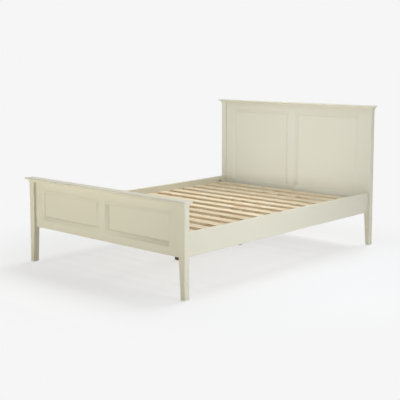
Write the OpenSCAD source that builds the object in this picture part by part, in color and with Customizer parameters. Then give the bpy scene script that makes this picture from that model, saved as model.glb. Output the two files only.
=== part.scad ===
// Panelled wooden bed frame with moulded caps, side rails and a slatted base.
// X runs across the bed, Y runs from the foot to the head, Z is up.
// The origin is on the floor, in the middle of the whole outline.

/* [Bed size] */
// Nominal width of the bed, between the side rails
mattress_w = 1350; // [900:10:1830]
// Nominal length of the bed, between the boards
mattress_l = 1900; // [1800:10:2100]
// Room between the nominal width and each side rail
side_room = 8; // [3:1:30]
// Room between the nominal length and the posts at each end
end_room = 20; // [5:1:40]

/* [Posts] */
// Width of a post, seen from the foot
post_w = 46; // [40:1:80]
// Depth of a post, along the bed
post_d = 42; // [40:1:80]
// Width of a post where it meets the floor
toe_w = 30; // [24:1:40]
// Rounding of the long edges of a post
post_round = 2; // [0.5:0.5:5]
// Height of the headboard, top of its cap
head_h = 1033; // [850:1:1300]
// Height of the footboard, top of its cap
foot_h = 577; // [500:1:750]

/* [Caps] */
// Thickness of a cap
cap_t = 28; // [24:1:40]
// How far the cap stands out past the front and the ends of the posts
cap_over = 22; // [18:1:40]
// How far the cap stands out past the back of the posts
cap_back = 3; // [0:1:15]
// Height of the rounded nose along the cap edge
nose_h = 10; // [7:1:14]
// Rounding of the nose
nose_round = 3; // [1:0.5:4.5]
// Step from the nose back to the start of the cove
quirk_w = 3; // [1:0.5:5]
// Flat lip that is left under the cove
cove_lip = 2; // [1:0.5:4]
// Width of the flat between the post and the cove
cove_foot = 3; // [1:0.5:6]

/* [Board frames] */
// Underside of both boards above the floor
board_z = 245; // [180:5:320]
// Thickness of the stiles and rails
frame_t = 24; // [22:1:28]
// Setback of the footboard frame from the front of its posts
foot_setback = 14; // [2:1:18]
// Setback of the headboard frame from the front of its posts
head_setback = 8; // [2:1:18]
// Plain face of a side stile, between post and moulding
stile_face = 66; // [45:1:110]
// Plain face of the centre stile, between two mouldings
middle_face = 61; // [36:1:90]
// Plain face of the footboard's top rail
foot_top_face = 44; // [35:1:80]
// Plain face of the footboard's bottom rail
foot_low_face = 52; // [45:1:80]
// Plain face of the headboard's top rail
head_top_face = 46; // [35:1:90]
// Plain face of the headboard's bottom rail
head_low_face = 108; // [60:1:200]
// Width of the moulding that falls from the frame's face to the panels
mould_w = 27; // [20:1:40]
// Small step down at the moulding's outer edge
mould_step = 0.5; // [0.5:0.5:2]
// Further fall of the moulding, steepest at the panel
mould_fall = 6.5; // [4:0.5:8]
// Slope of the moulding at its outer edge, in degrees
mould_lean = 7; // [2:1:10]
// Depth of the grooves that hold the panels
groove_d = 8; // [6:1:10]
// Width of those grooves
groove_w = 6; // [4:0.5:7]
// Wood between the moulding and the groove behind it
groove_front = 1.5; // [1:0.5:3]

/* [Panels] */
// Clearance of a panel to each side of its groove
tongue_fit = 0.2; // [0.1:0.05:0.5]
// Room for the panel to swell at the bottom of a groove
panel_room = 1; // [0.5:0.5:3]

/* [Side rails] */
// Underside of the side rails above the floor
rail_z = 246; // [180:1:320]
// Height of a side rail
rail_h = 144; // [130:2:220]
// Thickness of a side rail
rail_t = 22; // [22:1:30]
// Setback of a side rail from the outer face of the posts
rail_inset = 15; // [3:1:18]
// Rounding of the long edges of a side rail
rail_round = 3; // [1:0.5:6]

/* [Slatted base] */
// Number of slats
slat_count = 14; // [8:1:18]
// Width of a slat
slat_w = 70; // [50:1:90]
// Thickness of a slat
slat_t = 18; // [12:1:24]
// Rounding of the long edges of a slat
slat_round = 2.5; // [1:0.5:5]
// Distance from the top of the side rail down to the top of the slats
slat_drop = 46; // [40:1:70]
// Gap between a slat's end and the side rail
slat_gap = 3; // [1:0.5:8]
// Gap between the outer slats and the posts
slat_end_gap = 38; // [10:1:60]
// Width of the ledge under the slats
ledge_w = 24; // [18:1:40]
// Height of that ledge
ledge_h = 30; // [20:1:40]
// Gap between a ledge's end and the post
ledge_gap = 15; // [2:1:25]
// Easing of a ledge's long edges
ledge_round = 1; // [0.5:0.5:3]
// Number of screws in a ledge
ledge_screws_n = 7; // [4:1:12]
// Distance from a ledge's end to its first screw
ledge_screw_edge = 100; // [90:5:130]
// Width of a webbing tape under the slats
tape_w = 20; // [12:1:40]
// Thickness of a webbing tape
tape_t = 0.8; // [0.5:0.1:2]
// Distance of a tape from the middle of the bed
tape_x = 420; // [150:10:430]

/* [Middle support] */
// Width of the centre rail
beam_w = 30; // [22:1:32]
// Height of the centre rail
beam_h = 60; // [45:1:75]
// Easing of the centre rail's long edges
beam_round = 1.5; // [0.5:0.5:4]
// Gap between an end of the centre rail and its bracket
beam_gap = 1; // [0.5:0.5:3]
// Thickness of the bracket's sheet steel
bracket_t = 2; // [1.5:0.5:3]
// Length of the bracket's cradle
bracket_l = 40; // [25:1:60]
// Height of the bracket's cheeks
bracket_cheek = 42; // [25:1:58]
// Width of the bracket's back plate
bracket_w = 60; // [56:1:70]
// Distance from the bracket's lower edge to its lower screws
bracket_screw_edge = 12; // [8:1:16]
// Distance between the lower and the upper screws of a bracket
bracket_screw_step = 24; // [12:1:26]
// Clearance of the centre rail in its bracket, each side
bracket_fit = 0.3; // [0.2:0.1:1]
// Side of a square centre leg
leg_w = 36; // [30:1:50]
// Shift of both centre legs towards the head, from the thirds of the length
leg_shift = 12; // [-60:1:60]
// Chamfer round the foot of a centre leg
leg_chamfer = 3; // [1:0.5:6]

/* [Fixings] */
// Radius of the threaded studs
stud_r = 4; // [3:0.5:5]
// Clearance round a stud where it passes through wood
stud_fit = 0.5; // [0.3:0.1:1]
// Clearance of a thread or a nail in its hole
thread_fit = 0.05; // [0.02:0.01:0.1]
// Length of a stud inside a post
stud_grip = 30; // [20:1:34]
// Distance from a rail's end to the middle of its nut pocket
pocket_in = 60; // [45:1:90]
// Radius of a nut pocket
pocket_r = 15; // [14:0.5:18]
// Wood left between a nut pocket and the outer face of the rail
pocket_floor = 3.5; // [2:0.5:4]
// Wood between a nut pocket and the ledge
pocket_room = 5; // [2:1:12]
// Thickness of a half-moon washer at its thickest
washer_t = 6; // [4:0.5:8]
// Clearance between a washer and its pocket
washer_fit = 0.3; // [0.2:0.1:0.6]
// Thickness of a nut
nut_t = 6.5; // [5:0.5:8]
// Width of a nut across its flats
nut_af = 13; // [12:0.5:13.5]
// Length of a stud that stands past its nut
stud_tail = 3; // [1:0.5:6]
// Radius of a dowel
dowel_r = 4; // [3:0.5:5]
// Depth of a dowel in each piece
dowel_in = 18; // [12:1:22]
// Depth of a dowel in a cap
cap_dowel_in = 14; // [10:1:18]
// Clearance round a dowel and past its ends
dowel_fit = 0.2; // [0.1:0.05:0.4]
// Distance of the outer cap dowels from the middle of a top rail
cap_dowel_x = 400; // [200:10:500]
// Distance from a rail's edge to its dowel
rail_dowel_edge = 15; // [12:1:18]
// Dowels between the headboard frame and a post
head_dowels_n = 5; // [3:1:8]
// Dowels between the footboard frame and a post
foot_dowels_n = 3; // [2:1:4]
// Distance from the ends of a stile to its outer dowels
stile_dowel_edge = 55; // [50:1:70]
// Radius of a screw shank
screw_r = 2; // [1.5:0.25:2.5]
// Radius of a countersunk screw head
screw_head_r = 4; // [3:0.5:4.5]
// Height of a countersunk screw head
screw_head_h = 2.5; // [2:0.25:3]
// Clearance between a screw and its hole
screw_fit = 0.15; // [0.1:0.05:0.3]
// Length of a ledge screw in the side rail
ledge_screw_in = 14; // [8:1:18]
// Length of a slat screw in the ledge
slat_screw_in = 20; // [10:1:26]
// Length of a bracket screw in the board
bracket_screw_in = 14; // [8:1:17]
// Length of a leg stud in the leg and in the centre rail
leg_stud_in = 30; // [20:1:40]

/* [Glides] */
// Thickness of a glide under a post or leg
glide_h = 3; // [2:0.5:6]
// Radius of a glide
glide_r = 10; // [8:0.5:12]
// Rounding of a glide's rim
glide_round = 1.5; // [0.5:0.5:2]
// Radius of the nail of a glide
nail_r = 1.2; // [0.8:0.1:2]
// Length of the nail of a glide
nail_l = 14; // [8:1:25]

/* [Hidden] */
$fn = 48;
// How far a cut runs past the wood, and a hair's breadth where two shapes only meet
cut = 1;
eps = 0.01;

// Outline across the bed
clear_w = mattress_w + 2 * side_room;
rail_in_x = clear_w / 2;
rail_out_x = rail_in_x + rail_t;
rail_mid_x = rail_in_x + rail_t / 2;
post_out_x = rail_out_x + rail_inset;
post_in_x = post_out_x - post_w;
post_mid_x = post_out_x - post_w / 2;

// Outline along the bed
clear_l = mattress_l + 2 * end_room;
total_l = cap_over + 2 * post_d + clear_l + cap_back;
foot_y = cap_over - total_l / 2;
head_y = foot_y + post_d + clear_l;
rail_start = foot_y + post_d;

// Heights of the slatted base
slat_top = rail_z + rail_h - slat_drop;
ledge_top = slat_top - slat_t;
ledge_z = ledge_top - ledge_h;
beam_z = ledge_top - beam_h;

// Moulded edge and panel, measured from the outer edge of the moulding
mould_d = mould_step + mould_fall;
mould_end = 2 * atan(mould_fall / mould_w) - mould_lean;
mould_r = mould_w / (sin(mould_end) - sin(mould_lean));
mould_mid_in = mould_r * sin(mould_lean);
mould_mid_y = mould_step + mould_r * cos(mould_lean);
mould_fn = 240;
groove_y = mould_d + groove_front;
edge_x = post_in_x - stile_face;
stile_in_x = edge_x - mould_w;
middle_x = middle_face / 2;
middle_out_x = middle_x + mould_w;
tongue_y = groove_y + tongue_fit;
tongue_t = groove_w - 2 * tongue_fit;
tongue_edge = mould_w - groove_d + panel_room;
tenon_l = groove_d - panel_room;

// Places of the fixings
stud_zs = [ledge_z - pocket_room - pocket_r, ledge_top + pocket_room + pocket_r];
rail_dowel_zs = [rail_z + rail_dowel_edge, rail_z + rail_h - rail_dowel_edge];
washer_flat = pocket_in - pocket_r + washer_fit + washer_t;
nut_face = washer_flat + nut_t;
pocket_d = rail_t - pocket_floor;
washer_d = 2 * (pocket_d - rail_t / 2 - washer_fit);
ledge_screw_z = ledge_z + ledge_h / 2;
bracket_screw_x = beam_w / 2 + bracket_fit + bracket_t + screw_head_r;
plate_z = beam_z - bracket_t;
bracket_screw_zs = [for (i = [0, 1]) plate_z + bracket_screw_edge + i * bracket_screw_step];
leg_ys = [for (i = [1, 2]) rail_start + clear_l * i / 3 + leg_shift];
beam_start = foot_y + foot_setback + frame_t + bracket_t + beam_gap;
beam_end = head_y + head_setback - bracket_t - beam_gap;

// Pitch of the slats, over the length between the posts
slat_run = clear_l - 2 * slat_end_gap - slat_w;
slat_pitch = slat_run / (slat_count - 1);
function slat_y(i) = rail_start + slat_end_gap + slat_w / 2 + i * slat_pitch;

// One board is described by its height, setback, rail faces, dowel count and end of the bed
FOOT = [foot_h, foot_setback, foot_low_face, foot_top_face, foot_dowels_n, "foot"];
HEAD = [head_h, head_setback, head_low_face, head_top_face, head_dowels_n, "head"];
function at_foot_end(b) = b[5] == "foot";
function board_top(b) = b[0] - cap_t;
function front_y(b) = b[1];
function low_edge(b) = board_z + b[2];
function top_edge(b) = board_top(b) - b[3];
function dowel_y(b) = b[1] + frame_t / 2;
function stile_dowel_step(b) = (board_top(b) - board_z - 2 * stile_dowel_edge) / (b[4] - 1);
function stile_dowel_zs(b) =
    [for (i = [0:b[4] - 1]) board_z + stile_dowel_edge + i * stile_dowel_step(b)];
cap_dowel_xs = [-cap_dowel_x, 0, cap_dowel_x];

function slat_name(i) = str("slat_", i < 9 ? "0" : "", i + 1);

BOARD_NODES = [
    "post_left", "post_right", "cap", "top_rail", "bottom_rail",
    "stile_left", "stile_right", "centre_stile", "panel_left", "panel_right", "dowels"
];
BASE_NODES = [
    "side_rail_left", "side_rail_right", "ledge_left", "ledge_right", "ledge_screws",
    "rail_studs", "rail_washers", "rail_nuts", "rail_dowels",
    "centre_rail", "centre_bracket_foot", "centre_bracket_head", "bracket_screws",
    "centre_leg_foot", "centre_leg_head", "leg_studs",
    "slat_tape_left", "slat_tape_right", "slat_screws", "post_glides", "leg_glides"
];

paint = "#DDDBC8";
pine = "#E2C498";
brown = "#6B4526";
steel = "#B8BABD";
beech = "#D2A56D";
plastic = "#3A3A3C";
webbing = "#EFEDE6";

// Basic shapes

// Rectangle from the origin with its four corners rounded
module round_plan(w, d, r) {
    translate([r, 0]) square([w - 2 * r, d]);
    translate([0, r]) square([w, d - 2 * r]);
    for (x = [r, w - r], y = [r, d - r]) translate([x, y]) circle(r);
}

// Bar along Y with a rounded section, from y0 to y1
module bar_y(x0, x1, z0, z1, y0, y1, r) {
    translate([x0, y1, z0])
        rotate([90, 0, 0])
            linear_extrude(y1 - y0) round_plan(x1 - x0, z1 - z0, r);
}

// Cylinders along each axis, centred on a start point
module rod_x(r, l) { rotate([0, 90, 0]) cylinder(r = r, h = l); }
module rod_y(r, l) { rotate([-90, 0, 0]) cylinder(r = r, h = l); }

// Draws a board, made with its posts' front at y = 0, at its end of the bed
module at_foot() { translate([0, foot_y, 0]) children(); }
module at_head() { translate([0, head_y, 0]) children(); }

// A child and its copy on the other side of the bed
module both_sides() { children(); mirror([1, 0, 0]) children(); }
module left_side() { mirror([1, 0, 0]) children(); }

// Screw with a countersunk head, pointing down, head flush with z = 0; grow makes its hole
module screw(l, grow = 0) {
    translate([0, 0, -l - grow]) cylinder(r = screw_r + grow, h = l + grow);
    translate([0, 0, -screw_head_h])
        cylinder(r1 = screw_r + grow, r2 = screw_head_r + grow, h = screw_head_h);
    if (grow > 0) translate([0, 0, -eps]) cylinder(r = screw_head_r + grow, h = cut);
}

// Moulded frame edge

// Section of the recess between two outer edges a and b, depth along +v
module sink_section(a, b) {
    difference() {
        translate([a, -cut]) square([b - a, cut + mould_d]);
        for (x = [a - mould_mid_in, b + mould_mid_in])
            translate([x, mould_mid_y]) circle(mould_r, $fn = mould_fn);
    }
}

// Rectangular recess with the moulding mitred round its four sides
module sink(x0, x1, z0, z1) {
    intersection() {
        translate([0, 0, z0]) linear_extrude(z1 - z0) sink_section(x0, x1);
        translate([x0, 0, 0]) rotate([90, 0, 90]) linear_extrude(x1 - x0)
            mirror([1, -1]) sink_section(z0, z1);
    }
}

// Both openings of a board
module board_sinks(b) {
    translate([0, front_y(b), 0]) both_sides()
        sink(middle_x, edge_x, low_edge(b), top_edge(b));
}

// Straight pieces of the frame, with its face at the board's setback
module frame_block(b, x0, x1, z0, z1) {
    translate([x0, front_y(b), z0]) cube([x1 - x0, frame_t, z1 - z0]);
}
module groove(b, x0, x1, z0, z1) {
    translate([x0, front_y(b) + groove_y, z0]) cube([x1 - x0, groove_w, z1 - z0]);
}
module tongue(b, x0, x1, z0, z1) {
    translate([x0, front_y(b) + tongue_y, z0]) cube([x1 - x0, tongue_t, z1 - z0]);
}

// Draws a bracket or its screws on a board, with the plate's open face at y = 0
module at_bracket(b) {
    if (at_foot_end(b)) translate([0, front_y(b) + frame_t + bracket_t, 0]) children();
    else translate([0, front_y(b) - bracket_t, 0]) mirror([0, 1, 0]) children();
}

// Dowel holes across the joint between a stile and its post
module stile_dowels(b, grow = 0) {
    for (z = stile_dowel_zs(b))
        translate([post_in_x - dowel_in - grow, dowel_y(b), z])
            rod_x(dowel_r + grow, 2 * (dowel_in + grow));
}

// Dowels that stand up from posts and top rail into the cap
module cap_dowel(grow = 0) {
    translate([0, 0, -dowel_in - grow])
        cylinder(r = dowel_r + grow, h = dowel_in + cap_dowel_in + 2 * grow);
}
module cap_dowels(b, grow = 0) {
    both_sides() translate([post_mid_x, post_d / 2, board_top(b)]) cap_dowel(grow);
    for (x = cap_dowel_xs) translate([x, dowel_y(b), board_top(b)]) cap_dowel(grow);
}

// Boards

// Right-hand stile; the left one is its mirror image
module stile(b) {
    color(paint) difference() {
        frame_block(b, stile_in_x, post_in_x, board_z, board_top(b));
        board_sinks(b);
        groove(b, stile_in_x - cut, stile_in_x + groove_d, board_z - cut, board_top(b) + cut);
        stile_dowels(b, dowel_fit);
    }
}

// Rail between the stiles, from z0 to z1, with stub tenons in the stiles' grooves
module board_rail(b, z0, z1) {
    low = z0 == board_z;
    groove_z = low ? z1 - groove_d : z0 - cut;
    color(paint) difference() {
        union() {
            frame_block(b, -stile_in_x, stile_in_x, z0, z1);
            tongue(b, -stile_in_x - tenon_l, stile_in_x + tenon_l, z0, z1);
        }
        board_sinks(b);
        groove(b, -post_in_x, post_in_x, groove_z, groove_z + groove_d + cut);
        cap_dowels(b, dowel_fit);
        at_bracket(b) bracket_screw_set(screw_fit);
    }
}
module bottom_rail(b) { board_rail(b, board_z, low_edge(b) + mould_w); }
module top_rail(b) { board_rail(b, top_edge(b) - mould_w, board_top(b)); }

// Centre stile, stub-tenoned into both rails
module centre_stile(b) {
    z0 = low_edge(b) + mould_w;
    z1 = top_edge(b) - mould_w;
    groove_x = middle_out_x - groove_d;
    groove_end = tenon_l + cut;
    color(paint) difference() {
        union() {
            frame_block(b, -middle_out_x, middle_out_x, z0, z1);
            tongue(b, -middle_out_x, middle_out_x, z0 - tenon_l, z1 + tenon_l);
        }
        board_sinks(b);
        both_sides() groove(b, groove_x, middle_out_x + cut, z0 - groove_end, z1 + groove_end);
        at_bracket(b) bracket_screw_set(screw_fit);
    }
}

// Right-hand panel; the left one is its mirror image
module panel(b) {
    color(paint) tongue(b, middle_x + tongue_edge, edge_x - tongue_edge, low_edge(b) + tongue_edge,
        top_edge(b) - tongue_edge);
}

// Section of the cap's moulded edge: u runs outwards from the post's face, v is up
module cap_section(back) {
    nose_in = cap_over - nose_round;
    cove_out = cap_over - quirk_w;
    cove_r = cove_out - cove_foot;
    low = -cap_t;
    translate([-back, -nose_h]) square([back + nose_in, nose_h]);
    translate([-back, -nose_h + nose_round]) square([back + cap_over, nose_h - 2 * nose_round]);
    for (v = [-nose_round, nose_round - nose_h]) translate([nose_in, v]) circle(nose_round);
    difference() {
        translate([-back, low]) square([back + cove_out, cap_t - nose_round]);
        translate([cove_out, low + cove_lip]) circle(cove_r);
        translate([cove_foot, low - cut]) square([cove_r + cut, cove_lip + cut]);
    }
}

// Cap with its moulding mitred round the front and both ends
module cap(b) {
    back = post_d + cap_back;
    span = 2 * (post_out_x + cap_over);
    color(paint) difference() {
        intersection() {
            translate([-span / 2, 0, b[0]]) rotate([90, 0, 90]) linear_extrude(span)
                mirror([1, 0]) cap_section(back);
            translate([0, back, b[0]]) rotate([90, 0, 0]) linear_extrude(back + cap_over)
                both_sides_2d() translate([post_out_x, 0]) cap_section(post_out_x);
        }
        cap_dowels(b, dowel_fit);
    }
}
module both_sides_2d() { children(); mirror([1, 0]) children(); }

// Outline of the right-hand post from the foot of the bed, tapered on its inner side
module post_outline(b) {
    taper_top = min(board_z, rail_z);
    polygon([
        [post_out_x, glide_h], [post_out_x, board_top(b)], [post_in_x, board_top(b)],
        [post_in_x, taper_top], [post_out_x - toe_w, glide_h]
    ]);
}

// Turns what points along +Y from the rail's joint face into the wood of a post
module into_post(b) {
    if (at_foot_end(b)) translate([rail_mid_x, post_d, 0]) mirror([0, 1, 0]) children();
    else translate([rail_mid_x, 0, 0]) children();
}

// Right-hand post; the left one is its mirror image
module post(b) {
    color(paint) difference() {
        intersection() {
            translate([post_in_x, 0, 0]) linear_extrude(board_top(b))
                round_plan(post_w, post_d, post_round);
            translate([0, post_d, 0]) rotate([90, 0, 0]) linear_extrude(post_d) post_outline(b);
        }
        stile_dowels(b, dowel_fit);
        cap_dowels(b, dowel_fit);
        into_post(b) {
            for (z = stud_zs) translate([0, -cut, z]) rod_y(stud_r + thread_fit, stud_grip + cut);
            for (z = rail_dowel_zs)
                translate([0, -cut, z]) rod_y(dowel_r + dowel_fit, dowel_in + dowel_fit + cut);
        }
        translate([post_out_x - toe_w / 2, post_d / 2, 0]) nail(thread_fit);
    }
}

module board_dowels(b) {
    color(beech) {
        both_sides() stile_dowels(b);
        cap_dowels(b);
    }
}

// Sides

// What is fitted at the foot end of a rail, and its copy at the head end
module both_ends() {
    children();
    translate([0, 2 * rail_start + clear_l, 0]) mirror([0, 1, 0]) children();
}

// Right-hand side rail with its nut pockets and end holes
module side_rail() {
    color(paint) difference() {
        bar_y(rail_in_x, rail_out_x, rail_z, rail_z + rail_h,
            rail_start, rail_start + clear_l, rail_round);
        both_ends() {
            for (z = stud_zs) {
                translate([rail_mid_x, rail_start - cut, z])
                    rod_y(stud_r + stud_fit, pocket_in + pocket_r + cut);
                translate([rail_in_x - cut, rail_start + pocket_in, z])
                    rod_x(pocket_r, pocket_d + cut);
            }
            for (z = rail_dowel_zs)
                translate([rail_mid_x, rail_start - cut, z])
                    rod_y(dowel_r + dowel_fit, dowel_in + dowel_fit + cut);
        }
        ledge_screw_set(screw_fit);
    }
}

module rail_studs() {
    l = stud_grip + nut_face + stud_tail;
    color(steel) both_sides() both_ends() for (z = stud_zs)
        translate([rail_mid_x, rail_start - stud_grip, z]) rod_y(stud_r, l);
}

// Half-moon washers: round on the pocket's side, flat towards the nut
module rail_washers() {
    x0 = rail_mid_x - washer_d / 2;
    r = pocket_r - washer_fit;
    color(steel) both_sides() both_ends() for (z = stud_zs)
        difference() {
            translate([x0, rail_start + pocket_in, z]) rod_x(r, washer_d);
            translate([x0 - cut, rail_start + washer_flat, z - pocket_r])
                cube([washer_d + 2 * cut, 2 * pocket_r, 2 * pocket_r]);
            translate([rail_mid_x, rail_start, z]) rod_y(stud_r + stud_fit, pocket_in);
        }
}

// Hexagonal nuts, tight against the flats of the washers
module rail_nuts() {
    color(steel) both_sides() both_ends() for (z = stud_zs)
        translate([rail_mid_x, rail_start + washer_flat, z]) rotate([-90, 0, 0])
            difference() {
                rotate([0, 0, 30]) cylinder(d = nut_af / cos(30), h = nut_t, $fn = 6);
                translate([0, 0, -cut]) cylinder(r = stud_r + thread_fit, h = nut_t + 2 * cut);
            }
}

module rail_dowels() {
    color(beech) both_sides() both_ends() for (z = rail_dowel_zs)
        translate([rail_mid_x, rail_start - dowel_in, z]) rod_y(dowel_r, 2 * dowel_in);
}

// Slatted base

ledge_start = rail_start + ledge_gap;
ledge_l = clear_l - 2 * ledge_gap;
ledge_screw_step = (ledge_l - 2 * ledge_screw_edge) / (ledge_screws_n - 1);

// Right-hand ledge screws, driven from the inside of the bed
module ledge_screw_set(grow = 0) {
    for (i = [0:ledge_screws_n - 1])
        translate([rail_in_x - ledge_w, ledge_start + ledge_screw_edge + i * ledge_screw_step,
                ledge_screw_z])
            rotate([0, -90, 0]) screw(ledge_w + ledge_screw_in, grow);
}

// Screws in both ends of the first and last slat
module slat_screw_set(grow = 0) {
    for (i = [0, slat_count - 1])
        translate([rail_in_x - ledge_w / 2, slat_y(i), slat_top])
            screw(slat_t + slat_screw_in, grow);
}

module ledge() {
    color(pine) difference() {
        bar_y(rail_in_x - ledge_w, rail_in_x, ledge_z, ledge_top,
            ledge_start, ledge_start + ledge_l, ledge_round);
        ledge_screw_set(screw_fit);
        slat_screw_set(screw_fit);
    }
}

module slat(i) {
    w = clear_w - 2 * slat_gap;
    color(pine) difference() {
        translate([-w / 2, slat_y(i) - slat_w / 2, ledge_top]) rotate([90, 0, 90])
            linear_extrude(w) round_plan(slat_w, slat_t, slat_round);
        if (i == 0 || i == slat_count - 1) both_sides() slat_screw_set(screw_fit);
    }
}

// Webbing tape flat against the undersides of all the slats
module slat_tape() {
    color(webbing)
        translate([tape_x - tape_w / 2, slat_y(0) - slat_w / 2, ledge_top - tape_t])
            cube([tape_w, slat_run + slat_w, tape_t]);
}

// Middle support

module centre_rail() {
    color(pine) difference() {
        bar_y(-beam_w / 2, beam_w / 2, beam_z, ledge_top, beam_start, beam_end, beam_round);
        leg_studs_at(thread_fit);
    }
}

// Studs between the legs and the centre rail; grow makes their holes
module leg_studs_at(grow = 0) {
    for (y = leg_ys)
        translate([0, y, beam_z - leg_stud_in]) cylinder(r = stud_r + grow, h = 2 * leg_stud_in);
}
module leg_studs() { color(steel) leg_studs_at(); }

// Square leg with a chamfered foot
module centre_leg(y) {
    half = leg_w / 2;
    section = [
        [-half + leg_chamfer, glide_h], [half - leg_chamfer, glide_h], [half, glide_h + leg_chamfer],
        [half, beam_z], [-half, beam_z], [-half, glide_h + leg_chamfer]
    ];
    color(brown) difference() {
        translate([0, y, 0]) intersection() {
            translate([0, half, 0]) rotate([90, 0, 0]) linear_extrude(leg_w) polygon(section);
            translate([-half, 0, 0]) rotate([90, 0, 90]) linear_extrude(leg_w) polygon(section);
        }
        leg_studs_at(thread_fit);
        translate([0, y, 0]) nail(thread_fit);
    }
}

// Screws of a bracket, driven along -Y from the plate's face at y = 0
module bracket_screw_set(grow = 0) {
    for (x = [-bracket_screw_x, bracket_screw_x], z = bracket_screw_zs)
        translate([x, 0, z]) rotate([-90, 0, 0]) screw(bracket_t + bracket_screw_in, grow);
}

// Sheet steel bracket: back plate against the board and a cradle for the centre rail
module centre_bracket() {
    cradle_in = beam_w / 2 + bracket_fit;
    cradle_out = cradle_in + bracket_t;
    color(steel) difference() {
        union() {
            translate([-bracket_w / 2, -bracket_t, plate_z])
                cube([bracket_w, bracket_t, beam_h + bracket_t]);
            translate([-cradle_out, -bracket_t, plate_z])
                cube([2 * cradle_out, bracket_t + bracket_l, bracket_t + bracket_cheek]);
        }
        translate([-cradle_in, 0, beam_z]) cube([2 * cradle_in, bracket_l + cut, beam_h]);
        bracket_screw_set(screw_fit);
    }
}

// Glides

// Nail of a glide, standing on the floor; grow makes its hole
module nail(grow = 0) { cylinder(r = nail_r + grow, h = glide_h + nail_l); }

// Round glide with a nail, standing on the floor
module glide() {
    r = glide_r - glide_round;
    rotate_extrude() {
        square([r, glide_h]);
        translate([0, glide_round]) square([glide_r, glide_h - glide_round]);
        intersection() {
            translate([r, glide_round]) circle(glide_round);
            square([glide_r, glide_h]);
        }
    }
    nail();
}
module post_glides() {
    color(plastic) both_sides() for (y = [foot_y, head_y])
        translate([post_out_x - toe_w / 2, y + post_d / 2, 0]) glide();
}
module leg_glides() {
    color(plastic) for (y = leg_ys) translate([0, y, 0]) glide();
}

// Pieces of one board by name; left-hand pieces mirror the right-hand ones
module board_piece(b, name) {
    if (name == "post_right") post(b);
    if (name == "post_left") left_side() post(b);
    if (name == "cap") cap(b);
    if (name == "top_rail") top_rail(b);
    if (name == "bottom_rail") bottom_rail(b);
    if (name == "stile_right") stile(b);
    if (name == "stile_left") left_side() stile(b);
    if (name == "centre_stile") centre_stile(b);
    if (name == "panel_right") panel(b);
    if (name == "panel_left") left_side() panel(b);
    if (name == "dowels") board_dowels(b);
}

for (n = BOARD_NODES) at_head() board_piece(HEAD, n);
for (n = BOARD_NODES) at_foot() board_piece(FOOT, n);
left_side() side_rail();  // side_rail_left
side_rail();  // side_rail_right
left_side() ledge();  // ledge_left
ledge();  // ledge_right
color(steel) both_sides() ledge_screw_set();  // ledge_screws
rail_studs();
rail_washers();
rail_nuts();
rail_dowels();
centre_rail();
at_foot() at_bracket(FOOT) centre_bracket();  // centre_bracket_foot
at_head() at_bracket(HEAD) centre_bracket();  // centre_bracket_head
color(steel) {  // bracket_screws
    at_foot() at_bracket(FOOT) bracket_screw_set();
    at_head() at_bracket(HEAD) bracket_screw_set();
}
centre_leg(leg_ys[0]);  // centre_leg_foot
centre_leg(leg_ys[1]);  // centre_leg_head
leg_studs();
left_side() slat_tape();  // slat_tape_left
slat_tape();  // slat_tape_right
color(steel) both_sides() slat_screw_set();  // slat_screws
post_glides();
leg_glides();
for (i = [0:slat_count - 1]) slat(i);
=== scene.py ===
import math

import bmesh
import bpy
from mathutils import Matrix, Vector


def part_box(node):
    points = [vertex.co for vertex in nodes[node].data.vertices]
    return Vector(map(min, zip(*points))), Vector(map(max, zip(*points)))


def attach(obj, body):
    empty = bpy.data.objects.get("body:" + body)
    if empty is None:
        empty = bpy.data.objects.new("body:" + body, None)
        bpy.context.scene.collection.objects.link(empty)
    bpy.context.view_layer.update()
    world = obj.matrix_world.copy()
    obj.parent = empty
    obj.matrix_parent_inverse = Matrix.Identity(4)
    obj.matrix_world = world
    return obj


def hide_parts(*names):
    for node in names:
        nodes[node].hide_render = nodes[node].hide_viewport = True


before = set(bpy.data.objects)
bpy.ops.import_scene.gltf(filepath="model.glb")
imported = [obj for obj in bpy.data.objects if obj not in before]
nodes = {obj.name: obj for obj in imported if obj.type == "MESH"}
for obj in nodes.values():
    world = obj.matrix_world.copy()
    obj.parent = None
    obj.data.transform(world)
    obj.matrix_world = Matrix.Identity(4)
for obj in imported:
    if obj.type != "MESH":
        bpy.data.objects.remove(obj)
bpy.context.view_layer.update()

slatNames = [name for name in nodes if name.startswith("slat_") and name[5:].isdigit()]
print("frame loaded:", len(nodes), "pieces")


def linear(hexColour):  # sRGB hex to the linear values that shaders take
    parts = [int(hexColour[i:i + 2], 16) / 255 for i in (1, 3, 5)]
    return [p / 12.92 if p <= 0.04045 else ((p + 0.055) / 1.055) ** 2.4 for p in parts] + [1.0]


def emptyTree(owner):  # nodes of a material or of the world
    owner.use_nodes = True
    owner.node_tree.nodes.clear()
    return owner.node_tree


# Adds one node with its settings. An input, by name or number, takes a value or another node's socket;
# 6 and 7 are the two colours of a Mix node. Stops are the places and colours of a colour ramp.
def add(tree, kind, inputs=None, stops=None, **settings):
    node = tree.nodes.new("ShaderNode" + kind)
    for name, value in settings.items():
        setattr(node, name, value)
    for name, value in (inputs or {}).items():
        if isinstance(value, bpy.types.NodeSocket):
            tree.links.new(value, node.inputs[name])
        else:
            node.inputs[name].default_value = value
    if stops:
        ramp = node.color_ramp
        while len(ramp.elements) < len(stops):
            ramp.elements.new(0.5)
        for element, (place, colour) in zip(ramp.elements, stops):
            element.position = place
            element.color = colour
    return node


# Object space turned so that X runs along the grain, and moved so that no two boards show the same figure
grainTurns = {"x": (0, 0, 0), "y": (0, 0, -math.pi / 2), "z": (0, math.pi / 2, 0)}
farthestMove = (7.3, 3.1, 5.7)  # metres


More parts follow.
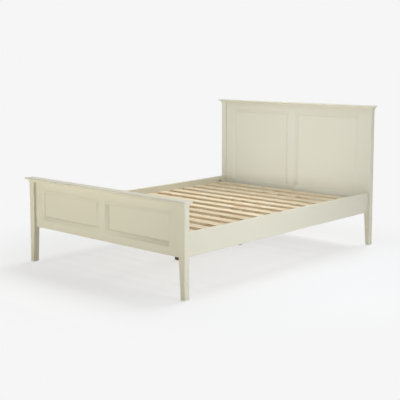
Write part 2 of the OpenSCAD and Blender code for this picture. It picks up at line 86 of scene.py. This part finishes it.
def grainSpace(tree, grain):
    place = add(tree, "TexCoord")
    board = add(tree, "ObjectInfo")
    move = add(tree, "VectorMath", {0: farthestMove, "Scale": board.outputs["Random"]}, operation="SCALE")
    moved = add(tree, "VectorMath", {0: place.outputs["Object"], 1: move.outputs[0]}, operation="ADD")
    turned = add(tree, "Mapping", {"Vector": moved.outputs[0], "Rotation": grainTurns[grain]})
    return turned.outputs[0]


# Camera: seen from the foot end, from the right and a little above the headboard.
# Place in metres, angles in degrees, sensor in millimetres.
view = {"focalPixels": 849.93, "imagePixels": 400, "sensorWidth": 36, "place": (3.9582, -4.4233, 1.3807),
        "tiltDown": 6.341, "turn": 42.365, "shift": -0.12}
camera = bpy.data.cameras.new("camera")
camera.sensor_width = view["sensorWidth"]
camera.lens = view["focalPixels"] / view["imagePixels"] * view["sensorWidth"]
camera.shift_y = view["shift"]
cameraObject = bpy.data.objects.new("camera", camera)
cameraObject.location = view["place"]
cameraObject.rotation_euler = (math.radians(90 - view["tiltDown"]), 0, math.radians(view["turn"]))
bpy.context.collection.objects.link(cameraObject)
bpy.context.scene.camera = cameraObject
bpy.context.scene.view_settings.view_transform = "Standard"
print("camera placed")


# In the dictionaries of the materials, lengths are in metres. A spacing is one whole change of a pattern,
# and a size or width is half of one. A pair gives two ends of a range; tone is for the darkest and the
# lightest board.

# Painted wood: satin water-based lacquer, sprayed and flatted.
# The spray leaves a fine orange peel, and the grain below still telegraphs through it as faint lines.
paintLook = {"colour": "#DED9C5", "shade": "#D9D3BD", "driftSpacing": 1 / 2.2,  # slow drift of the film
             "tone": (0.985, 1.015), "roughness": (0.35, 0.46), "ior": 1.48,
             "peelSize": 0.0022, "peelDepth": 0.00003,  # real peel is 1 to 3 mm across
             "grainWidth": 0.0016, "grainLength": 0.09, "grainDepth": 0.00005}


def makePaint(grain):
    look = paintLook
    material = bpy.data.materials.new("satinPaintedWood_" + grain)
    tree = emptyTree(material)
    space = grainSpace(tree, grain)
    drift = add(tree, "TexNoise", {"Vector": space, "Scale": 1 / look["driftSpacing"], "Detail": 2.0})
    coat = add(tree, "Mix", {"Factor": drift.outputs["Fac"], 6: linear(look["colour"]),
                             7: linear(look["shade"])}, data_type="RGBA")
    board = add(tree, "ObjectInfo")
    tone = add(tree, "MapRange", {"Value": board.outputs["Random"], "To Min": look["tone"][0],
                                  "To Max": look["tone"][1]})
    toned = add(tree, "HueSaturation", {"Color": coat.outputs[2], "Value": tone.outputs[0]})
    fibre = add(tree, "VectorMath", {0: space, 1: (look["grainWidth"] / look["grainLength"], 1, 1)},
                operation="MULTIPLY")
    grainLines = add(tree, "TexNoise", {"Vector": fibre.outputs[0], "Scale": 1 / look["grainWidth"] / 2,
                                        "Detail": 3.0, "Roughness": 0.6})
    peel = add(tree, "TexNoise", {"Vector": space, "Scale": 1 / look["peelSize"] / 2, "Detail": 1.0})
    sheen = add(tree, "MapRange", {"Value": grainLines.outputs["Fac"], "To Min": look["roughness"][0],
                                   "To Max": look["roughness"][1]})
    grainBump = add(tree, "Bump", {"Height": grainLines.outputs["Fac"], "Distance": look["grainDepth"]})
    bump = add(tree, "Bump", {"Height": peel.outputs["Fac"], "Distance": look["peelDepth"],
                              "Normal": grainBump.outputs[0]})
    surface = add(tree, "BsdfPrincipled", {"Base Color": toned.outputs[0], "Roughness": sheen.outputs[0],
                                           "Normal": bump.outputs[0], "IOR": look["ior"]})
    add(tree, "OutputMaterial", {"Surface": surface.outputs[0]})
    return material


paint = {grain: makePaint(grain) for grain in "xyz"}
print("paint made")


# Bare planed pine: flat-sawn, unfinished. Pale earlywood with narrow darker latewood lines that
# loop along the board, small brown knots that bend them, and a dry, slightly fuzzy surface.
pineLook = {"earlywood": "#EFE0C2", "midwood": "#E8D4AE", "latewood": "#D6B586",
            "midwoodAt": 0.5, "latewoodAt": 0.88, "ringSpacing": 0.0045, "ringDepth": 0.00005,
            "figureSpacing": 1 / 7, "figureStretch": 0.09,  # 143 mm across a board, 11 times that along it
            "figureChange": 0.14,  # the figure's value changes by about one over this length
            "knot": "#7A4A26", "knotRim": "#A8733F", "knotRadius": 0.007, "knotCore": 0.75, "knotEvery": 0.30,
            "bendReach": 4.5, "bendRings": 4.0,  # a knot bends rings within 4.5 of its radii, by 4 at most
            "fibreWidth": 0.0005, "fibreLength": 0.03, "fibreDepth": 0.00008,
            "streak": (0.93, 1.07), "tone": (0.92, 1.06), "roughness": (0.68, 0.54), "ior": 1.5}


def makePine(grain):
    look = pineLook
    material = bpy.data.materials.new("planedPine_" + grain)
    tree = emptyTree(material)
    space = grainSpace(tree, grain)
    knots = add(tree, "TexVoronoi", {"Vector": space, "Scale": 1 / look["knotEvery"], "Randomness": 1.0})
    away = add(tree, "Math", {0: knots.outputs["Distance"], 1: look["knotEvery"]}, operation="MULTIPLY")
    swirl = add(tree, "MapRange", {"Value": away.outputs[0], "To Min": 1.0, "To Max": 0.0,
                                   "From Max": look["bendReach"] * look["knotRadius"]},
                interpolation_type="SMOOTHERSTEP")
    long = add(tree, "VectorMath", {0: space, 1: (look["figureStretch"], 1, 1)}, operation="MULTIPLY")
    figure = add(tree, "TexNoise", {"Vector": long.outputs[0], "Scale": 1 / look["figureSpacing"],
                                    "Detail": 1.5, "Roughness": 0.4, "Distortion": 0.25})
    growth = add(tree, "Math", {0: figure.outputs["Fac"], 1: look["figureChange"] / look["ringSpacing"]},
                 operation="MULTIPLY")
    bent = add(tree, "Math", {0: swirl.outputs[0], 1: look["bendRings"], 2: growth.outputs[0]},
               operation="MULTIPLY_ADD")
    ring = add(tree, "Math", {0: bent.outputs[0]}, operation="FRACT")
    wood = add(tree, "ValToRGB", {"Fac": ring.outputs[0]},
               stops=[(0.0, linear(look["earlywood"])), (look["midwoodAt"], linear(look["midwood"])),
                      (look["latewoodAt"], linear(look["latewood"])), (1.0, linear(look["earlywood"]))])
    fibre = add(tree, "VectorMath", {0: space, 1: (look["fibreWidth"] / look["fibreLength"], 1, 1)},
                operation="MULTIPLY")
    fibres = add(tree, "TexNoise", {"Vector": fibre.outputs[0], "Scale": 1 / look["fibreWidth"] / 2,
                                    "Detail": 2.0})
    streak = add(tree, "MapRange", {"Value": fibres.outputs["Fac"], "To Min": look["streak"][0],
                                    "To Max": look["streak"][1]})
    board = add(tree, "ObjectInfo")
    tone = add(tree, "MapRange", {"Value": board.outputs["Random"], "To Min": look["tone"][0],
                                  "To Max": look["tone"][1]})
    value = add(tree, "Math", {0: streak.outputs[0], 1: tone.outputs[0]}, operation="MULTIPLY")
    toned = add(tree, "HueSaturation", {"Color": wood.outputs[0], "Value": value.outputs[0]})
    core = add(tree, "ValToRGB", {"Fac": away.outputs[0]},
               stops=[(0.0, (1, 1, 1, 1)), (look["knotRadius"] * look["knotCore"], (1, 1, 1, 1)),
                      (look["knotRadius"], (0, 0, 0, 1))])
    heart = add(tree, "Mix", {"Factor": ring.outputs[0], 6: linear(look["knot"]), 7: linear(look["knotRim"])},
                data_type="RGBA")
    coloured = add(tree, "Mix", {"Factor": core.outputs[0], 6: toned.outputs[0], 7: heart.outputs[2]},
                   data_type="RGBA")
    dry = add(tree, "MapRange", {"Value": ring.outputs[0], "To Min": look["roughness"][0],
                                 "To Max": look["roughness"][1]})
    ridges = add(tree, "Bump", {"Height": ring.outputs[0], "Distance": look["ringDepth"]})
    bump = add(tree, "Bump", {"Height": fibres.outputs["Fac"], "Distance": look["fibreDepth"],
                              "Normal": ridges.outputs[0]})
    surface = add(tree, "BsdfPrincipled", {"Base Color": coloured.outputs[2], "Roughness": dry.outputs[0],
                                           "Normal": bump.outputs[0], "IOR": look["ior"]})
    add(tree, "OutputMaterial", {"Surface": surface.outputs[0]})
    return material


pine = {grain: makePine(grain) for grain in "xy"}
print("pine made")


# Stained hardwood of the centre legs: spirit stain wiped on, no lacquer, so pores stay darker than the rest
stainLook = {"light": "#7A5330", "dark": "#4E3119", "lightAt": 0.38, "darkAt": 0.12,
             "bandSpacing": 1 / 60,  # 17 mm
             "poreWidth": 0.0007, "poreLength": 0.018, "poreDepth": 0.0001, "roughness": (0.62, 0.45)}


def makeStain():
    look = stainLook
    material = bpy.data.materials.new("stainedHardwood")
    tree = emptyTree(material)
    space = grainSpace(tree, "z")
    fibre = add(tree, "VectorMath", {0: space, 1: (look["poreWidth"] / look["poreLength"], 1, 1)},
                operation="MULTIPLY")
    pores = add(tree, "TexNoise", {"Vector": fibre.outputs[0], "Scale": 1 / look["poreWidth"] / 2,
                                   "Detail": 3.0, "Roughness": 0.65})
    bands = add(tree, "TexNoise", {"Vector": fibre.outputs[0], "Scale": 1 / look["bandSpacing"],
                                   "Detail": 2.0})
    both = add(tree, "Math", {0: pores.outputs["Fac"], 1: bands.outputs["Fac"]}, operation="MULTIPLY")
    wood = add(tree, "ValToRGB", {"Fac": both.outputs[0]},
               stops=[(look["darkAt"], linear(look["dark"])), (look["lightAt"], linear(look["light"]))])
    gloss = add(tree, "MapRange", {"Value": pores.outputs["Fac"], "To Min": look["roughness"][0],
                                   "To Max": look["roughness"][1]})
    bump = add(tree, "Bump", {"Height": pores.outputs["Fac"], "Distance": look["poreDepth"]})
    surface = add(tree, "BsdfPrincipled", {"Base Color": wood.outputs[0], "Roughness": gloss.outputs[0],
                                           "Normal": bump.outputs[0]})
    add(tree, "OutputMaterial", {"Surface": surface.outputs[0]})
    return material


stain = makeStain()


# Beech of the dowels: bare and close-grained, with short brown ray flecks
beechLook = {"fleck": "#B98552", "wood": "#D6AC78", "fleckAt": 0.35, "woodAt": 0.55, "fleckSpacing": 0.002,
             "fleckDepth": 0.00005, "roughness": (0.55, 0.7)}


def makeBeech():
    look = beechLook
    material = bpy.data.materials.new("bareBeech")
    tree = emptyTree(material)
    space = grainSpace(tree, "x")
    flecks = add(tree, "TexNoise", {"Vector": space, "Scale": 1 / look["fleckSpacing"], "Detail": 1.0})
    wood = add(tree, "ValToRGB", {"Fac": flecks.outputs["Fac"]},
               stops=[(look["fleckAt"], linear(look["fleck"])), (look["woodAt"], linear(look["wood"]))])
    dull = add(tree, "MapRange", {"Value": flecks.outputs["Fac"], "To Min": look["roughness"][0],
                                  "To Max": look["roughness"][1]})
    bump = add(tree, "Bump", {"Height": flecks.outputs["Fac"], "Distance": look["fleckDepth"]})
    surface = add(tree, "BsdfPrincipled", {"Base Color": wood.outputs[0], "Roughness": dull.outputs[0],
                                           "Normal": bump.outputs[0]})
    add(tree, "OutputMaterial", {"Surface": surface.outputs[0]})
    return material


beech = makeBeech()


# Zinc-plated steel: bright zinc with a faint blue passivation, cloudy from the plating bath
zincLook = {"bright": "#C9CDD2", "cloudy": "#AEB1B5",
            "cloudSpacing": 1 / 140, "scratchSpacing": 1 / 900,  # 7 mm and 1.1 mm
            "scratchDepth": 0.00003, "roughness": (0.24, 0.44)}


def makeZinc():
    look = zincLook
    material = bpy.data.materials.new("zincPlatedSteel")
    tree = emptyTree(material)
    space = grainSpace(tree, "x")
    clouds = add(tree, "TexNoise", {"Vector": space, "Scale": 1 / look["cloudSpacing"], "Detail": 3.0})
    plate = add(tree, "Mix", {"Factor": clouds.outputs["Fac"], 6: linear(look["bright"]),
                              7: linear(look["cloudy"])}, data_type="RGBA")
    matt = add(tree, "MapRange", {"Value": clouds.outputs["Fac"], "To Min": look["roughness"][0],
                                  "To Max": look["roughness"][1]})
    scratches = add(tree, "TexNoise", {"Vector": space, "Scale": 1 / look["scratchSpacing"], "Detail": 2.0})
    bump = add(tree, "Bump", {"Height": scratches.outputs["Fac"], "Distance": look["scratchDepth"]})
    surface = add(tree, "BsdfPrincipled", {"Base Color": plate.outputs[2], "Roughness": matt.outputs[0],
                                           "Normal": bump.outputs[0], "Metallic": 1.0})
    add(tree, "OutputMaterial", {"Surface": surface.outputs[0]})
    return material


zinc = makeZinc()


# Moulded polyethylene of the glides: spark-eroded texture with soft highlights
glideLook = {"dark": "#A9A493", "light": "#B6B19F", "sparkSpacing": 1 / 1500,  # 0.7 mm
             "sparkDepth": 0.00004, "roughness": (0.48, 0.6)}


def makeGlidePlastic():
    look = glideLook
    material = bpy.data.materials.new("mouldedPolyethylene")
    tree = emptyTree(material)
    space = grainSpace(tree, "x")
    spark = add(tree, "TexNoise", {"Vector": space, "Scale": 1 / look["sparkSpacing"], "Detail": 2.0})
    tint = add(tree, "Mix", {"Factor": spark.outputs["Fac"], 6: linear(look["dark"]),
                             7: linear(look["light"])}, data_type="RGBA")
    matt = add(tree, "MapRange", {"Value": spark.outputs["Fac"], "To Min": look["roughness"][0],
                                  "To Max": look["roughness"][1]})
    bump = add(tree, "Bump", {"Height": spark.outputs["Fac"], "Distance": look["sparkDepth"]})
    surface = add(tree, "BsdfPrincipled", {"Base Color": tint.outputs[2], "Roughness": matt.outputs[0],
                                           "Normal": bump.outputs[0]})
    add(tree, "OutputMaterial", {"Surface": surface.outputs[0]})
    return material


glidePlastic = makeGlidePlastic()


# Woven polyester webbing: plain weave with warp cords along the tape, and painted shade in the low places
# between the threads.
# Real picks are 0.8 mm apart and are drawn at 1.6 mm, to show.
weaveLook = {"thread": "#F1EEE4", "gapShade": "#BDB8A8", "pick": 0.0016, "cord": 0.0020, "depth": 0.0003,
             "roughness": 0.85, "sheen": 0.25}


def makeWebbing():
    look = weaveLook
    material = bpy.data.materials.new("wovenPolyester")
    tree = emptyTree(material)
    place = add(tree, "TexCoord")
    parts = add(tree, "SeparateXYZ", {"Vector": place.outputs["Object"]})
    cords = add(tree, "Math", {0: parts.outputs["X"], 1: math.pi / look["cord"]}, operation="MULTIPLY")
    picks = add(tree, "Math", {0: parts.outputs["Y"], 1: math.pi / look["pick"]}, operation="MULTIPLY")
    cordWave = add(tree, "Math", {0: cords.outputs[0]}, operation="SINE")
    pickWave = add(tree, "Math", {0: picks.outputs[0]}, operation="SINE")
    over = add(tree, "Math", {0: cordWave.outputs[0], 1: pickWave.outputs[0]}, operation="MULTIPLY")
    height = add(tree, "Math", {0: over.outputs[0]}, operation="ABSOLUTE")
    # painted shade: where the weave is low, between the threads, the cloth is mixed towards the darker gap
    # colour
    cloth = add(tree, "Mix", {"Factor": height.outputs[0], 6: linear(look["gapShade"]), 7: linear(look["thread"])},
                data_type="RGBA")
    bump = add(tree, "Bump", {"Height": height.outputs[0], "Distance": look["depth"]})
    surface = add(tree, "BsdfPrincipled", {"Base Color": cloth.outputs[2], "Roughness": look["roughness"],
                                           "Normal": bump.outputs[0], "Sheen Weight": look["sheen"]})
    add(tree, "OutputMaterial", {"Surface": surface.outputs[0]})
    return material


webbing = makeWebbing()
print("stain, beech, zinc, plastic and webbing made")


# Each piece of the frame gets the finish that it has, with the grain along its length
uprights = ("post", "stile", "panel")
finishes = {}
for name in nodes:
    if name.endswith("dowels"):
        finishes[name] = beech
    elif name.startswith(("head_", "foot_")):
        finishes[name] = paint["z" if any(word in name for word in uprights) else "x"]
    elif name.startswith("side_rail"):
        finishes[name] = paint["y"]
    elif name in slatNames:
        finishes[name] = pine["x"]
    elif name in ("ledge_left", "ledge_right", "centre_rail"):
        finishes[name] = pine["y"]
    elif name.startswith("centre_leg"):
        finishes[name] = stain
    elif name.startswith("slat_tape"):
        finishes[name] = webbing
    elif name.endswith("glides"):
        finishes[name] = glidePlastic
    else:
        finishes[name] = zinc  # screws, studs, nuts, washers and brackets
for name, material in finishes.items():
    piece = nodes[name]
    piece.data.materials.clear()
    piece.data.materials.append(material)
print("finishes given to", len(finishes), "pieces")


# Sharp edges are eased as sandpaper leaves them, so that each one catches the light.
# Widths are in metres; an edge counts as sharp from the angle given, in degrees.
easing = {"painted": 0.0008, "bare": 0.0005, "steel": 0.0002, "sharpFrom": 35, "segments": 2}
samePoint = 0.00001  # metres: corners closer than this are one


def easeEdges(piece, name, width, sharpFrom):
    bevel = piece.modifiers.new(name, "BEVEL")
    bevel.width = width
    bevel.segments = easing["segments"]
    bevel.limit_method = "ANGLE"
    bevel.angle_limit = math.radians(sharpFrom)
    return bevel


for name, piece in nodes.items():
    if finishes[name] in paint.values():
        width = easing["painted"]
    elif name.startswith("centre_bracket"):
        width = easing["steel"]
    elif finishes[name] in (*pine.values(), stain):
        width = easing["bare"]
    else:
        continue
    weld = piece.modifiers.new("weld", "WELD")
    weld.merge_threshold = samePoint
    bevel = easeEdges(piece, "easedEdges", width, easing["sharpFrom"])
    bevel.harden_normals = True
print("edges eased")


# Fasteners. The CAD has plain screws and studs; their threads, points and cross recesses are drawn here,
# each in the place and at the length of its CAD solid.
def solidsOf(piece):  # corner points of each separate solid in a CAD piece
    mesh = bmesh.new()
    mesh.from_mesh(piece.data)
    bmesh.ops.remove_doubles(mesh, verts=mesh.verts, dist=samePoint)
    solids = []
    for first in mesh.verts:
        if first.tag:
            continue
        first.tag = True
        reached = [first]
        for vert in reached:
            for edge in vert.link_edges:
                other = edge.other_vert(vert)
                if not other.tag:
                    other.tag = True
                    reached.append(other)
        solids.append([vert.co.copy() for vert in reached])
    mesh.free()
    return solids


def axisOf(points):  # both ends of a round solid's axis, the wider end first
    low = Vector([min(point[i] for point in points) for i in range(3)])
    high = Vector([max(point[i] for point in points) for i in range(3)])
    along = max(range(3), key=lambda i: high[i] - low[i])
    ends = []
    for place in (low[along], high[along]):
        end = (low + high) / 2
        end[along] = place
        width = max((point - end).length for point in points if abs(point[along] - place) < samePoint)
        ends.append((round(width, 5), end))  # to 0.01 mm, so that like ends keep their order
    ends.sort(key=lambda pair: pair[0], reverse=True)
    return ends[0][1], ends[1][1]


def addRings(mesh, rings):  # skin over a row of closed rings, with a face at each end
    rows = [[mesh.verts.new(point) for point in ring] for ring in rings]
    for near, far in zip(rows, rows[1:]):
        for i in range(len(near)):
            mesh.faces.new((near[i], near[i - 1], far[i - 1], far[i]))
    mesh.faces.new(rows[0])
    mesh.faces.new(rows[-1][::-1])


# Rings about an axis. Each row gives a depth along the axis, and the radius there as a function of the angle.
def roundPlaces(start, end, rows, angles, turn):
    axis = (end - start).normalized()
    across = axis.orthogonal().normalized()
    rings = []
    for depth, radiusAt in rows:
        ring = []
        for angle in angles:
            spoke = Matrix.Rotation(math.radians(angle) + turn, 3, axis) @ across
            ring.append(start + axis * depth + spoke * radiusAt(angle))
        rings.append(ring)
    return rings


def threadRow(look, depth):  # one row of a thread, whose crest climbs once round in a pitch
    def radiusAt(angle):
        wave = 0.5 + 0.5 * math.cos(2 * math.pi * (depth / look["pitch"] - angle / 360))
        return look["core"] + (look["crest"] - look["core"]) * wave ** look["sharpness"]
    return depth, radiusAt


smoothBelow = 38  # degrees between faces


def finishPiece(name, mesh, material, slotName, *replaced):
    bmesh.ops.recalc_face_normals(mesh, faces=mesh.faces)
    data = bpy.data.meshes.new(name)
    mesh.to_mesh(data)
    mesh.free()
    data.materials.append(material)
    piece = bpy.data.objects.new(name, data)
    bpy.context.collection.objects.link(piece)
    data.shade_smooth()
    data.set_sharp_from_angle(angle=math.radians(smoothBelow))
    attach(piece, "root")
    if replaced:
        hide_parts(*replaced)


def makeRods(name, nodeName, look, rowsOf):  # screws or studs in the places of a node's solids
    mesh = bmesh.new()
    for i, points in enumerate(solidsOf(nodes[nodeName])):
        start, end = axisOf(points)
        rows = rowsOf(look, (end - start).length)
        addRings(mesh, roundPlaces(start, end, rows, look["angles"], look["turnEach"] * i))
    finishPiece(name, mesh, zinc, "zinc_steel", nodeName)


# Countersunk wood screw, 4 mm across the thread. The cross recess has a small floor and a step in its wall,
# whose widths are shares of the arm at the top. Each screw stopped at its own turn, in radians.
quarterAngles = (-45, -28, -12.1, 0, 12.1, 28)  # corners of the rings in each quarter of the cross
screwLook = {"head": 0.004, "headDepth": 0.0025, "rim": 0.00012, "core": 0.0014, "crest": 0.002,
             "pitch": 0.0018, "sharpness": 1.5, "rowsInPitch": 4,
             "collar": 0.3, "collarUnder": 0.0002,  # share without thread, and how far it is below the crest
             "point": 0.0035, "tip": 0.00015, "arm": 0.0021, "armAngle": 12.1, "recess": 0.0019,
             "floorShare": 0.25, "stepShare": 0.6, "stepDepth": 0.8, "turnEach": 0.65,
             "angles": [quarter * 90 + corner for quarter in range(4) for corner in quarterAngles]}


def crossRow(look, depth, share):  # outline of the cross recess, drawn in as it goes down
    arm = look["arm"] * share
    half = arm * math.tan(math.radians(look["armAngle"]))

    def radiusAt(angle):
        off = math.radians(abs((angle + 45) % 90 - 45))
        return min(arm / math.cos(off), half / max(math.sin(off), 0.001))  # never divided by zero
    return depth, radiusAt


def screwRows(look, length):
    taper = (look["head"] - look["crest"]) / look["headDepth"]
    rim = look["rim"]
    rows = [crossRow(look, look["recess"], look["floorShare"]),
            crossRow(look, look["recess"] * look["stepDepth"], look["stepShare"]), crossRow(look, 0, 1),
            (0, lambda angle: look["head"] - 2 * rim), (rim, lambda angle: look["head"] - rim * taper),
            (look["headDepth"], lambda angle: look["crest"] - look["collarUnder"])]
    depth = look["headDepth"] + look["collar"] * (length - look["headDepth"])
    rows.append((depth, lambda angle: look["crest"] - look["collarUnder"]))
    while depth < length - look["point"]:
        depth += look["pitch"] / look["rowsInPitch"]
        rows.append(threadRow(look, depth))
    rows.append((length, lambda angle: look["tip"]))
    return rows


makeRods("ledgeScrews", "ledge_screws", screwLook, screwRows)
makeRods("slatScrews", "slat_screws", screwLook, screwRows)
makeRods("bracketScrews", "bracket_screws", screwLook, screwRows)


# Threaded rod of the rail and leg studs, 8 mm across with 1.25 mm of pitch, ends chamfered
studLook = {"core": 0.00335, "crest": 0.004, "pitch": 0.00125, "sharpness": 1.5, "rowsInPitch": 4,
            "chamfer": 0.0006, "endUnder": 0.0002,  # how far an end lies below the core
            "turnEach": 0.9, "angles": range(0, 360, 18)}  # 20 sides


def studRows(look, length):
    rows = [(0, lambda angle: look["core"] - look["endUnder"])]
    depth = look["chamfer"]
    while depth < length - look["chamfer"]:
        rows.append(threadRow(look, depth))
        depth += look["pitch"] / look["rowsInPitch"]
    rows.append((length, lambda angle: look["core"] - look["endUnder"]))
    return rows


makeRods("railStuds", "rail_studs", studLook, studRows)
makeRods("legStuds", "leg_studs", studLook, studRows)


# Staples that hold the tapes under the slats: flat zinc wire, one at each crossing. Between crown and leg the
# wire's bend is cut off once, at bendCut of its size.
stapleLook = {"crown": 0.0104, "leg": 0.008, "wire": (0.0012, 0.0005), "bend": 0.0006, "bendCut": 0.3}


def makeStaples():
    look = stapleLook
    wide, thick = look["wire"]
    half, bend, leg = look["crown"] / 2, look["bend"], look["leg"]
    cut = bend * look["bendCut"]
    # Each turn of the wire: across, up, and where its outer side faces: 0 is left, 90 down and 180 right
    turns = [(-half, leg, 0), (-half, bend, 0), (-half + cut, cut, 45), (-half + bend, 0, 90),
             (half - bend, 0, 90), (half - cut, cut, 135), (half, bend, 180), (half, leg, 180)]
    side = Vector((0, wide / 2, 0))
    mesh = bmesh.new()
    for tapeName in ("slat_tape_left", "slat_tape_right"):
        low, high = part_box(tapeName)
        x, z = (low[0] + high[0]) / 2, low[2] - thick / 2
        for slatName in slatNames:
            slatLow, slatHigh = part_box(slatName)
            y = (slatLow[1] + slatHigh[1]) / 2
            rings = []
            for across, up, facing in turns:
                angle = math.radians(facing)
                out = Vector((-math.cos(angle), 0, -math.sin(angle))) * thick / 2
                middle = Vector((x + across, y, z + up))
                rings.append([middle + out + side, middle + out - side,
                              middle - out - side, middle - out + side])
            addRings(mesh, rings)
    finishPiece("tapeStaples", mesh, zinc, "zinc_steel")


makeStaples()

# Turned and stamped edges of the nuts and washers
chamfer = {"width": 0.0003, "sharpFrom": 40}
for name in ("rail_nuts", "rail_washers"):
    easeEdges(nodes[name], "chamfer", chamfer["width"], chamfer["sharpFrom"])
print("fasteners made")


# Studio: one pale floor that fades into open white surroundings, so that no horizon shows.
# The camera sees the floor as floorSeen and other rays as floorBounce. The background's colour is mixed over
# what the camera sees of it: by liftNear in the middle, and by liftFar from fadeTo metres on.
studio = {"background": "#F6F6F6", "floorSeen": 0.88, "floorBounce": 0.90, "liftNear": 0.64, "liftFar": 1.0,
          "fadeFrom": 1.0, "fadeTo": 2.0, "floorSize": 60.0, "ambient": 0.16}


def makeFloor():
    look = studio
    half = look["floorSize"] / 2
    mesh = bpy.data.meshes.new("floor")
    corners = [(-half, -half, 0), (half, -half, 0), (half, half, 0), (-half, half, 0)]
    mesh.from_pydata(corners, [], [(0, 1, 2, 3)])
    floor = bpy.data.objects.new("floor", mesh)
    bpy.context.collection.objects.link(floor)
    material = bpy.data.materials.new("paleStudioFloor")
    tree = emptyTree(material)
    glow = add(tree, "Emission", {"Color": linear(look["background"]), "Strength": 1.0})
    ray = add(tree, "LightPath")
    seen, bounce = look["floorSeen"], look["floorBounce"]
    shade = add(tree, "Mix", {"Factor": ray.outputs["Is Camera Ray"], 6: (bounce, bounce, bounce, 1),
                              7: (seen, seen, seen, 1)}, data_type="RGBA")
    matt = add(tree, "BsdfDiffuse", {"Color": shade.outputs[2]})
    spot = add(tree, "TexCoord")
    away = add(tree, "VectorMath", {0: spot.outputs["Object"]}, operation="LENGTH")
    fade = add(tree, "MapRange", {"Value": away.outputs["Value"], "From Min": look["fadeFrom"],
                                  "From Max": look["fadeTo"], "To Min": look["liftNear"],
                                  "To Max": look["liftFar"]}, interpolation_type="SMOOTHSTEP")
    lift = add(tree, "Math", {0: ray.outputs["Is Camera Ray"], 1: fade.outputs[0]}, operation="MULTIPLY")
    lit = add(tree, "MixShader", {0: lift.outputs[0], 1: matt.outputs[0], 2: glow.outputs[0]})
    facing = add(tree, "NewGeometry")
    clear = add(tree, "BsdfTransparent")  # from below, the floor isn't seen
    oneSided = add(tree, "MixShader", {0: facing.outputs["Backfacing"], 1: lit.outputs[0],
                                       2: clear.outputs[0]})
    add(tree, "OutputMaterial", {"Surface": oneSided.outputs[0]})
    mesh.materials.append(material)


def makeSurroundings():
    world = bpy.data.worlds.new("studio")
    bpy.context.scene.world = world
    tree = emptyTree(world)
    ray = add(tree, "LightPath")
    seen = add(tree, "Math", {0: ray.outputs["Is Camera Ray"], 1: ray.outputs["Is Glossy Ray"]},
               operation="MAXIMUM")
    through = add(tree, "Math", {0: seen.outputs[0], 1: ray.outputs["Is Transmission Ray"]},
                  operation="MAXIMUM")
    backdrop = add(tree, "Background", {"Color": linear(studio["background"]), "Strength": 1.0})
    ambient = add(tree, "Background", {"Color": (1, 1, 1, 1), "Strength": studio["ambient"]})
    sky = add(tree, "MixShader", {0: through.outputs[0], 1: ambient.outputs[0], 2: backdrop.outputs[0]})
    add(tree, "OutputWorld", {"Surface": sky.outputs[0]})


def addLamp(name, kind, energy, tint, back):  # back: the direction that the lamp's back faces
    light = bpy.data.lights.new(name, kind)
    light.energy = energy
    light.color = linear(tint)[:3]
    lampObject = bpy.data.objects.new(name, light)
    lampObject.rotation_euler = back.to_track_quat("Z", "Y").to_euler()
    bpy.context.collection.objects.link(lampObject)
    return lampObject


makeFloor()
makeSurroundings()

# Suns: a soft key from the right and a little behind, and one from above and behind.
# Angles are in degrees; from: 0 is +X, 90 is +Y.
suns = {
    "keyRight": {"strength": 0.45, "softness": 36, "elevation": 42, "from": 22, "tint": "#F9FBFF"},
    "topBehind": {"strength": 1.75, "softness": 30, "elevation": 58, "from": 90, "tint": "#FFFFFF"},
}
for name, lamp in suns.items():
    rise, around = math.radians(lamp["elevation"]), math.radians(lamp["from"])
    towards = Vector((math.cos(rise) * math.cos(around), math.cos(rise) * math.sin(around), math.sin(rise)))
    sun = addLamp(name, "SUN", lamp["strength"], lamp["tint"], towards)
    sun.data.angle = math.radians(lamp["softness"])

# Soft boxes: one far out at the front left, one close at the right side, one high over the headboard, and two
# that lie low and face up, as white cards do: a wide one on the floor in front of the footboard, and one just
# over the slats. They light the slopes of the mouldings from below. Sizes are width and height in metres.
softBoxes = {
    "frontLeft": {"power": 70.0, "size": (1.6, 1.6), "spread": 180, "place": (-4.5, -6.0, 0.5),
                  "aim": (-0.4, -1.0, 0.4), "tint": "#FFFCEC"},
    "besideBed": {"power": 18.5, "size": (0.9, 0.9), "spread": 180, "place": (2.6, -0.55, 0.9),
                  "aim": (0.7, -0.3, 0.4), "tint": "#ECF4FF"},
    "overHead": {"power": 7.7, "size": (1.6, 1.6), "spread": 90, "place": (-0.35, 0.0, 2.4),
                 "aim": (0.0, 0.98, 0.8), "tint": "#E2EEFF"},
    "footCard": {"power": 10.0, "size": (2.4, 1.0), "spread": 180, "place": (-0.35, -1.7, 0.02),
                 "aim": (-0.35, -1.0, 0.6), "tint": "#FFFCEC"},
    "headCard": {"power": 4.7, "size": (1.3, 1.6), "spread": 180, "place": (0.0, 0.1, 0.44),
                 "aim": (0.0, 0.3, 2.4), "tint": "#E2EEFF"},
}
for name, lamp in softBoxes.items():
    place = Vector(lamp["place"])
    box = addLamp(name, "AREA", lamp["power"], lamp["tint"], place - Vector(lamp["aim"]))
    box.location = place
    box.visible_camera = False
    box.data.shape = "RECTANGLE"
    box.data.size, box.data.size_y = lamp["size"]
    box.data.spread = math.radians(lamp["spread"])
print("studio lit")
